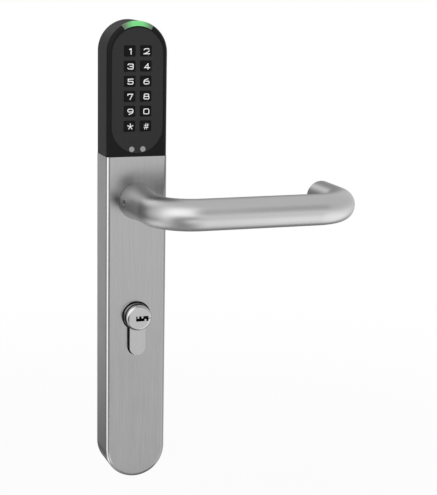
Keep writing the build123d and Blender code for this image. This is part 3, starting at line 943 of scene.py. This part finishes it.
@dataclass
class ReaderHead(SubAssembly):
    """Dark head with its panel, light bar and electronics."""

    glow: Colour = (0.145, 0.625, 0.19)
    glow_ends: Colour = (0.072, 0.085, 0.07)
    glow_strength: float = 1.0
    bar_body: Colour = (0.03, 0.05, 0.03)
    contact_tint: Colour = grey(0.38)
    contact_roughness: float = 0.45
    contact_pitch: float = 0.4 * MM

    def light_bar(self) -> LightBar:
        """Size the light bar's finish from its node.

        Returns:
            The finish.
        """
        _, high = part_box("light_guide")
        return LightBar(
            "light_bar_green",
            self.glow,
            self.glow_ends,
            self.bar_body,
            half_width=high.x,
            strength=self.glow_strength,
        )

    def contact_metal(self) -> TurnedMetal:
        """Centre the rings of the contacts' finish on the right hand one.

        Returns:
            The finish.
        """
        low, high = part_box("contact_pins")
        radius = (high.z - low.z) / 2
        centre = (high.x - radius, (high.z + low.z) / 2)
        return TurnedMetal(
            "contact_nickel",
            self.contact_tint,
            self.contact_roughness,
            centre=centre,
            ring_pitch=self.contact_pitch,
        )

    def finishes(self) -> Mapping[str, Finish]:
        """Finish of every node, by the node's name."""
        return {
            "reader_housing": HEAD_PLASTIC,
            "keypad_panel": PANEL_PLASTIC,
            "light_guide": self.light_bar(),
            "contact_pins": self.contact_metal(),
            "key_mat": SILICONE,
            "keypad_board": BOARD,
            "status_leds": LAMP_LENS,
            "connector_socket": SOCKET_NYLON,
            "control_chip": CHIP_RESIN,
            "buzzer": CHIP_RESIN,
            "head_spacers": BUSH_ACETAL,
            "head_screws": ZINC_PLATE,
        }


@dataclass
class Stroke:
    """One stroke of a figure, along corners given as across, up and an optional rounding."""

    corners: Sequence[Corner]
    closed: bool = False
    arc_steps: int = 6
    mitre_limit: float = 0.45

    def line(self) -> list[Vector]:
        """Round the corners of the stroke.

        Returns:
            Points along its middle line.
        """
        points = [Vector(corner[:2]) for corner in self.corners]
        rounds = [corner[2] if len(corner) > 2 else 0.0 for corner in self.corners]
        count = len(points)
        line: list[Vector] = []
        for index, (point, radius) in enumerate(zip(points, rounds)):
            if radius == 0.0:
                line.append(point)
                continue
            before = points[index - 1]
            after = points[(index + 1) % count]
            line.extend(self.arc(before, point, after, radius))
        return line

    def arc(self, before: Vector, point: Vector, after: Vector, radius: float) -> list[Vector]:
        """Round one corner.

        Args:
            before: the corner that comes before.
            point: the corner to round.
            after: the corner that comes after.
            radius: distance from the corner at which the rounding starts and ends.

        Returns:
            Points along the rounding.
        """
        start = point + (before - point).normalized() * radius
        stop = point + (after - point).normalized() * radius
        shares = [step / self.arc_steps for step in range(self.arc_steps + 1)]
        return [
            start * (1 - share) ** 2 + point * (2 * share * (1 - share)) + stop * share**2 for share in shares
        ]

    def edges(self, thickness: float) -> list[tuple[Vector, Vector]]:
        """Left and right edge points along the stroke.

        Args:
            thickness: width of the stroke.

        Returns:
            One pair of edge points for each point of the line.
        """
        line = self.line()
        count = len(line)
        pairs = []
        for index, point in enumerate(line):
            before = line[index - 1] if index > 0 or self.closed else None
            after = line[(index + 1) % count] if index < count - 1 or self.closed else None
            into = (point - before).normalized() if before else (after - point).normalized()
            out = (after - point).normalized() if after else into
            normal = Vector((-into.y - out.y, into.x + out.x)).normalized()
            spread = max(normal.dot(Vector((-into.y, into.x))), self.mitre_limit)
            offset = normal * (thickness / 2 / spread)
            pairs.append((point + offset, point - offset))
        return pairs


# Sizes of the figures, in shares of their height
HALF_WIDTH = 0.43
HALF_HEIGHT = 0.4
WAIST = 0.01
FIGURE_STROKE = 0.132
STAR_STROKE = 0.125
HASH_STROKE = 0.085


def ring(low: float, high: float, half_width: float = HALF_WIDTH, rounding: float = 0.22) -> Stroke:
    """Closed stroke round a figure's bowl.

    Args:
        low: height of its lower side.
        high: height of its upper side.
        half_width: half of its width.
        rounding: size of its corners.

    Returns:
        The stroke.
    """
    sides = [(-half_width, low), (half_width, low), (half_width, high), (-half_width, high)]
    return Stroke([(x, z, rounding) for x, z in sides], closed=True)


def spoke(angle: float, reach: float = 0.52) -> Stroke:
    """Bar from the middle of a figure outward, with its angle in degrees from +X."""
    turn = math.radians(angle)
    return Stroke([(0.0, 0.0), (reach * math.cos(turn), reach * math.sin(turn))])


class Figure(Enum):
    """Figures of the keys."""

    ONE = "1"
    TWO = "2"
    THREE = "3"
    FOUR = "4"
    FIVE = "5"
    SIX = "6"
    SEVEN = "7"
    EIGHT = "8"
    NINE = "9"
    ZERO = "0"
    STAR = "star"
    HASH = "hash"

    def strokes(self) -> list[Stroke]:
        """Draw the figure about its middle.

        Returns:
            Its strokes, in shares of its height.
        """
        w, h, m = HALF_WIDTH, HALF_HEIGHT, WAIST
        shapes = {
            Figure.ONE: [Stroke([(-0.25, 0.27), (0.07, h), (0.07, -0.5)])],
            Figure.TWO: [
                Stroke([(-w, 0.16), (-w, h, 0.2), (w, h, 0.24), (w, 0.03, 0.2), (-0.36, -h)]),
                Stroke([(-0.54, -h), (0.54, -h)]),
            ],
            Figure.THREE: [
                Stroke([(-w, 0.2), (-w, h, 0.16), (w, h, 0.2), (w, m, 0.17), (-0.15, m)]),
                Stroke([(-0.15, m), (w, m, 0.17), (w, -h, 0.22), (-w, -h, 0.2), (-w, -0.18)]),
            ],
            Figure.FOUR: [
                Stroke([(0.56, -0.2), (-0.34, -0.2), (0.22, 0.42)]),
                Stroke([(0.22, 0.5), (0.22, -0.5)]),
            ],
            Figure.FIVE: [
                Stroke([(0.48, h), (-0.38, h), (-0.38, 0.05)]),
                Stroke([(-0.44, 0.05), (w, 0.05, 0.2), (w, -h, 0.22), (-w, -h, 0.2), (-w, -0.2)]),
            ],
            Figure.SIX: [ring(-h, 0.05), Stroke([(-w, -0.14), (-w, 0.2, 0.22), (0.3, 0.46)])],
            Figure.SEVEN: [Stroke([(-w, 0.16), (-w, h), (0.36, h), (-0.1, -0.5)])],
            Figure.EIGHT: [ring(m, h, half_width=0.38, rounding=0.16), ring(-h, m, rounding=0.17)],
            Figure.NINE: [ring(-0.05, h), Stroke([(w, 0.14), (w, -0.2, 0.22), (-0.3, -0.46)])],
            Figure.ZERO: [ring(-h, h)],
            Figure.STAR: [spoke(angle) for angle in (90, 18, 162, 234, 306)],
            Figure.HASH: [
                Stroke([(-0.29, -0.5), (-0.03, 0.5)]),
                Stroke([(0.03, -0.5), (0.29, 0.5)]),
                Stroke([(-0.43, -0.17), (0.37, -0.17)]),
                Stroke([(-0.37, 0.17), (0.43, 0.17)]),
            ],
        }
        return shapes[self]

    def thickness(self) -> float:
        """Width of the figure's strokes, in shares of its height."""
        return {Figure.STAR: STAR_STROKE, Figure.HASH: HASH_STROKE}.get(self, FIGURE_STROKE)


@dataclass
class Keypad(SubAssembly):
    """Twelve keys with a raised printed figure on each."""

    figure_height: float = 3.75 * MM
    figure_layer: float = 0.06 * MM
    figure_shift: Span = (0.45 * MM, -0.2 * MM)

    def finishes(self) -> Mapping[str, Finish]:
        """Finish of every node, by the node's name."""
        return {f"key_{figure.value}": KEY_PLASTIC for figure in Figure}

    def build(self) -> None:
        """Make the figure of every key and let it ride on the key."""
        for figure in Figure:
            piece = self.figure(figure)
            FIGURE_PAINT.paint(piece)
            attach(piece, f"button_{figure.value}")

    def figure(self, figure: Figure) -> bpy.types.Object:
        """Make one figure on the face of its key.

        Args:
            figure: which figure to make.

        Returns:
            The new piece.
        """
        low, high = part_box(f"key_{figure.value}")
        middle = (low + high) / 2
        origin = Vector((middle.x + self.figure_shift[0], low.y, middle.z + self.figure_shift[1]))
        solids = [self.solid(stroke, figure.thickness(), origin) for stroke in figure.strokes()]
        return join(f"figure_{figure.value}", solids)

    def solid(self, stroke: Stroke, thickness: float, origin: Vector) -> bpy.types.Mesh:
        """Make a stroke as a thin solid that stands on the key.

        Args:
            stroke: the stroke.
            thickness: its width in shares of the figure's height.
            origin: middle of the figure on the key's face.

        Returns:
            The solid's mesh.
        """
        top = self.figure_layer
        sections = []
        for left, right in stroke.edges(thickness):
            section = []
            for side, lift in ((left, 0.0), (left, top), (right, top), (right, 0.0)):
                across = side * self.figure_height
                section.append(origin + Vector((across.x, -lift, across.y)))
            sections.append(section)
        return loft("stroke", sections, stroke.closed)


@dataclass
class Lever(SubAssembly):
    """Bent tube lever with its core, grub screw and end cap."""

    def finishes(self) -> Mapping[str, Finish]:
        """Finish of every node, by the node's name."""
        return {
            "lever_handle": LEVER_STEEL,
            "lever_insert": LEVER_STEEL,
            "lever_set_screw": SCREW_STEEL,
            "lever_end_cap": CAP_STEEL,
        }


@dataclass
class HubAndClutch(SubAssembly):
    """Hub, follower, spindle and the motor driven clutch."""

    def finishes(self) -> Mapping[str, Finish]:
        """Finish of every node, by the node's name."""
        return {
            "hub_housing": CAST_ZINC,
            "hub_screws": ZINC_PLATE,
            "lever_bush": BUSH_ACETAL,
            "drive_hub": MACHINED_STEEL,
            "return_spring": WIRE_ACROSS,
            "spindle_hub": MACHINED_STEEL,
            "square_spindle": ZINC_PLATE,
            "spindle_pin": MACHINED_STEEL,
            "clutch_pin": MACHINED_STEEL,
            "clutch_spring": WIRE_UPRIGHT,
            "clutch_shoe": BRASS,
            "lead_screw": BRASS,
            "clutch_motor": ZINC_PLATE,
            "motor_strap": BUSH_ACETAL,
            "strap_screws": ZINC_PLATE,
        }


@dataclass
class ProfileCylinder(SubAssembly):
    """Profile cylinder with its plug, cam, pins and a dark ring round the plug's head that stands in for the
    shadow there.
    """

    plug_roughness: float = 0.11
    # Dark ring round the plug's head, a painted shadow: its gap, width, height and steps
    shadow_ring_gap: float = 0.04 * MM
    shadow_ring_width: float = 0.26 * MM
    shadow_ring_height: float = 0.6 * MM
    shadow_ring_sides: int = 96
    shadow_ring_arcs: int = 6

    def build(self) -> None:
        """Make the dark ring that lies on the body round the plug's head, a painted shadow in place of a real
        part.
        """
        # The ring is a painted shadow, not a part of the lock
        piece = add("plug_shadow_ring", self.shadow_ring_mesh())
        RUBBER_AND_PAINTED_SHADOW.paint(piece)
        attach(piece, "escutcheon")

    def shadow_ring_mesh(self) -> bpy.types.Mesh:
        """Make a closed ring with a round crown on the face of the body.

        Returns:
            The ring's mesh.
        """
        low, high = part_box("cylinder_plug")
        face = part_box("cylinder_body")[0].y
        centre = (low + high) / 2
        half = self.shadow_ring_width / 2
        middle = (high.x - low.x) / 2 + self.shadow_ring_gap + half
        profile = []
        for step in range(self.shadow_ring_arcs + 1):
            turn = math.pi * step / self.shadow_ring_arcs
            profile.append((middle - math.cos(turn) * half, face - math.sin(turn) * self.shadow_ring_height))
        sections = []
        for side in range(self.shadow_ring_sides):
            turn = math.tau * side / self.shadow_ring_sides
            x, z = math.cos(turn), math.sin(turn)
            sections.append([(centre.x + radius * x, y, centre.z + radius * z) for radius, y in profile])
        return loft("plug_shadow_ring", sections, closed=True)

    def plug_metal(self) -> PlugMetal:
        """Centre the rings of the plug's finish on its own axis.

        Returns:
            The finish.
        """
        low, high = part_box("cylinder_plug")
        centre = ((low.x + high.x) / 2, (low.z + high.z) / 2)
        return PlugMetal("plug_nickel_turned", NICKEL_TINT, self.plug_roughness, centre=centre)

    def finishes(self) -> Mapping[str, Finish]:
        """Finish of every node, by the node's name."""
        return {
            "cylinder_body": NICKEL_BODY,
            "cylinder_plug": self.plug_metal(),
            "cylinder_cam": MACHINED_STEEL,
            "plug_clip": MACHINED_STEEL,
            "key_pins": BRASS,
            "driver_pins": BRASS,
            "pin_springs": WIRE_UPRIGHT,
        }


# Studio


@dataclass(frozen=True)
class PaleFloor(Finish):
    """Matt pale floor that the camera sees as white where nothing shades it."""

    name: str
    tint: Colour
    near_glow: float = 0.85
    glow_reach: Span = (0.3, 1.0)
    cloud_size: float = 0.4
    cloud_shade: float = 0.99
    roughness: float = 0.9

    def surface(self, graph: Graph) -> Wire:
        """Build the shader.

        Args:
            graph: the material's graph.

        Returns:
            The shader.
        """
        cloud = graph.noise(self.cloud_size)
        distance = graph.node(
            "ShaderNodeVectorMath", {"operation": "LENGTH"}, {0: graph.place()}, outlet="Value"
        )
        glow = self.near_glow + distance.step(*self.glow_reach) * (1 - self.near_glow)
        matt = graph.node(
            "ShaderNodeBsdfPrincipled",
            sockets={
                "Base Color": graph.blend(cloud, shade(self.tint, self.cloud_shade), self.tint),
                "Roughness": self.roughness,
                "Specular IOR Level": 0.0,
            },
        )
        white = graph.node("ShaderNodeEmission", sockets={"Color": WHITE, "Strength": 1.0})
        seen = graph.node("ShaderNodeLightPath", outlet="Is Camera Ray")
        return graph.node("ShaderNodeMixShader", sockets={0: seen * glow, 1: matt, 2: white})


@dataclass(frozen=True)
class DarkCard(Finish):
    """Felt covered card, as metal near it shows it."""

    name: str
    tint: Colour
    felt_size: float = 0.02
    felt_shade: float = 0.95

    def surface(self, graph: Graph) -> Wire:
        """Build the shader.

        Args:
            graph: the material's graph.

        Returns:
            The shader.
        """
        felt = graph.noise(self.felt_size)
        colour = graph.blend(felt, shade(self.tint, self.felt_shade), self.tint)
        return graph.node("ShaderNodeEmission", sockets={"Color": colour, "Strength": 1.0})


@dataclass(frozen=True)
class RoomPanel:
    """Soft edged light or dark panel of the room, with its place and half sizes in degrees.

    A bearing of 0 is straight in front of the lock and a positive one is to its right.
    A height is above the horizon.
    """

    bearing: float
    height: float
    half_width: float
    half_height: float
    level: float
    softness: float

    def mask(self, bearing: Wire, height: Wire) -> Wire:
        """Share of the panel in a direction.

        Args:
            bearing: bearing of the direction in degrees.
            height: its height in degrees.

        Returns:
            1 on the panel and 0 off it.
        """
        across = abs(bearing.math("WRAP", bearing - self.bearing, -HALF_TURN, HALF_TURN))
        along = abs(height - self.height)
        inside = across.step(self.half_width + self.softness, self.half_width - self.softness)
        return inside * along.step(self.half_height + self.softness, self.half_height - self.softness)


# Bearing, height, half width, half height, level and softness, where later panels cover earlier ones
ROOM_PANELS = (
    RoomPanel(-32, 4, 42, 50, 1.85, 18),
    RoomPanel(-137.2, 2, 24.4, 33, 0.12, 9),
    RoomPanel(-153, 41, 34, 15, 1.25, 10),
    RoomPanel(-127, -53, 47, 14, 1.15, 10),
    RoomPanel(-41, -49, 20, 40, 0.27, 16),
    RoomPanel(-19, -13, 26, 11, 0.15, 9),
    RoomPanel(18, 25, 22, 17, 0.56, 9),
    RoomPanel(160, -67, 42, 42, 0.25, 9),
    RoomPanel(166, -1, 15, 41, 0.34, 10),
    RoomPanel(68, -42, 50, 32, 1.45, 24),
    RoomPanel(-166, -29, 12, 9, 0.12, 6),
    RoomPanel(12, -22, 15, 6, 0.75, 7),
)


@dataclass(frozen=True)
class Lamp:
    """Soft square lamp that points at the lock."""

    name: str
    place: Triple
    size: Span
    power: float

    def hang(self, target: Vector) -> None:
        """Add the lamp and turn it towards a point.

        Args:
            target: the point.
        """
        data = bpy.data.lights.new(self.name, "AREA")
        data.shape = "RECTANGLE"
        data.size, data.size_y = self.size
        data.energy = self.power
        lamp = add(self.name, data)
        lamp.location = self.place
        lamp.visible_glossy = False
        lamp.rotation_euler = (target - lamp.location).to_track_quat("-Z", "Y").to_euler()
        log.info("%s hangs at %s", self.name, self.place)


@dataclass
class Studio:
    """Camera, lamps, floor and the pale room round the lock."""

    azimuth: float = -19.901
    elevation: float = 11.791
    roll: float = 1.074
    distance: float = 900.643 * MM
    target: Triple = (61.828 * MM, 0.0, -36.82 * MM)
    focal_length: float = 101.470
    sensor: float = 36.0
    floor_drop: float = 0.12
    floor_radius: float = 4.0
    floor_sides: int = 96
    floor_tint: Colour = grey(0.86)
    flag_drop: float = 25 * MM
    flag_place: Span = (-2 * MM, -25 * MM)
    flag_size: Span = (86 * MM, 90 * MM)
    flag_tint: Colour = grey(0.45)
    room_level: float = 0.55
    wall_level: float = 0.80
    foot_level: float = 0.44
    wall_foot: Span = (-30.0, -8.0)
    lamps: Sequence[Lamp] = (
        Lamp("lamp_key", place=(-0.9, -1.3, 1.1), size=(1.0, 1.0), power=14.0),
        Lamp("lamp_fill", place=(1.5, -1.2, 0.5), size=(1.0, 1.4), power=8.0),
        Lamp("lamp_top", place=(0.1, -0.1, 1.6), size=(1.4, 1.4), power=10.0),
    )

    def set_up(self) -> None:
        """Build the whole studio."""
        bpy.context.scene.view_settings.view_transform = "Standard"
        self.place_camera()
        for lamp in self.lamps:
            lamp.hang(Vector(self.target))
        self.lay_floor()
        self.hang_flag()
        self.light_room()

    def place_camera(self) -> None:
        """Stand the camera where the photograph was taken."""
        turn, lift, tilt = (math.radians(angle) for angle in (self.azimuth, self.elevation, self.roll))
        back = Vector(
            (math.sin(turn) * math.cos(lift), -math.cos(turn) * math.cos(lift), math.sin(lift))
        )
        level = Vector((math.cos(turn), math.sin(turn), 0.0))
        upright = back.cross(level)
        right = level * math.cos(tilt) + upright * math.sin(tilt)
        up = upright * math.cos(tilt) - level * math.sin(tilt)
        data = bpy.data.cameras.new("camera")
        data.lens = self.focal_length
        data.sensor_fit = "VERTICAL"
        data.sensor_height = self.sensor
        camera = add("camera", data)
        turned = Matrix((right, up, back)).transposed()
        camera.matrix_world = Matrix.Translation(Vector(self.target) + back * self.distance) @ turned.to_4x4()
        bpy.context.scene.camera = camera
        log.info("camera stands at %s", tuple(round(value, 4) for value in camera.location))

    def lay_floor(self) -> None:
        """Lay a pale round floor below the lock."""
        low, _ = cad_box
        shape = bmesh.new()
        bmesh.ops.create_circle(shape, cap_ends=True, segments=self.floor_sides, radius=self.floor_radius)
        floor = add("floor", mesh_of(shape, "floor"))
        floor.location.z = low[2] - self.floor_drop
        floor.visible_glossy = False
        PaleFloor("floor_pale", self.floor_tint).paint(floor)

    def hang_flag(self) -> None:
        """Hold a dark card under the lock that shows in the metal alone and draws its lower edge."""
        low, _ = cad_box
        half_unit = 0.5
        shape = bmesh.new()
        bmesh.ops.create_grid(shape, x_segments=1, y_segments=1, size=half_unit)
        flag = add("flag", mesh_of(shape, "flag"))
        flag.location = (*self.flag_place, low[2] - self.flag_drop)
        flag.scale = (*self.flag_size, 1.0)
        flag.visible_camera = False
        flag.visible_diffuse = False
        flag.visible_transmission = False
        flag.visible_shadow = False
        DarkCard("flag_felt", self.flag_tint).paint(flag)

    def light_room(self) -> None:
        """Give the room a white wall for the camera, its panels for the metal and an even soft light."""
        world = bpy.context.scene.world or bpy.data.worlds.new("room")
        bpy.context.scene.world = world
        world.use_nodes = True
        graph = Graph(world.node_tree)
        wall = graph.node("ShaderNodeBackground", sockets={"Color": WHITE, "Strength": 1.0})
        sheen = graph.node(
            "ShaderNodeBackground", sockets={"Color": self.room_colour(graph), "Strength": 1.0}
        )
        soft = graph.node("ShaderNodeBackground", sockets={"Color": WHITE, "Strength": self.room_level})
        glossy = graph.node("ShaderNodeLightPath", outlet="Is Glossy Ray")
        seen = graph.node("ShaderNodeLightPath", outlet="Is Camera Ray")
        through = graph.node("ShaderNodeLightPath", outlet="Is Transmission Ray")
        lit = graph.node("ShaderNodeMixShader", sockets={0: glossy, 1: soft, 2: sheen})
        whole = graph.node("ShaderNodeMixShader", sockets={0: seen + through, 1: lit, 2: wall})
        graph.node("ShaderNodeOutputWorld", sockets={"Surface": whole})

    def room_colour(self, graph: Graph) -> Wire:
        """Brightness of the room by direction, as polished metal shows it.

        Args:
            graph: the world's graph.

        Returns:
            A grey colour.
        """
        x, y, z = graph.axes(graph.node("ShaderNodeTexCoord", outlet="Generated"))
        degrees = HALF_TURN / math.pi
        bearing = x.math("ARCTAN2", x, y * -1.0) * degrees
        height = z.math("ARCSINE", z) * degrees
        colour = graph.blend(height.step(*self.wall_foot), grey(self.foot_level), grey(self.wall_level))
        for panel in ROOM_PANELS:
            colour = graph.blend(panel.mask(bearing, height), colour, grey(panel.level))
        return colour


def sub_assemblies() -> Sequence[SubAssembly]:
    """Sub-assemblies of the lock in the order in which they are made."""
    return (Escutcheon(), ReaderHead(), Keypad(), Lever(), HubAndClutch(), ProfileCylinder())


def main() -> None:
    """Make, finish and light the lock."""
    logging.basicConfig(level=logging.INFO, format="%(message)s")
    for assembly in sub_assemblies():
        log.info("building %s", type(assembly).__name__)
        assembly.build()
        assembly.dress()
    Studio().set_up()


if __name__ == "__main__":
    main()
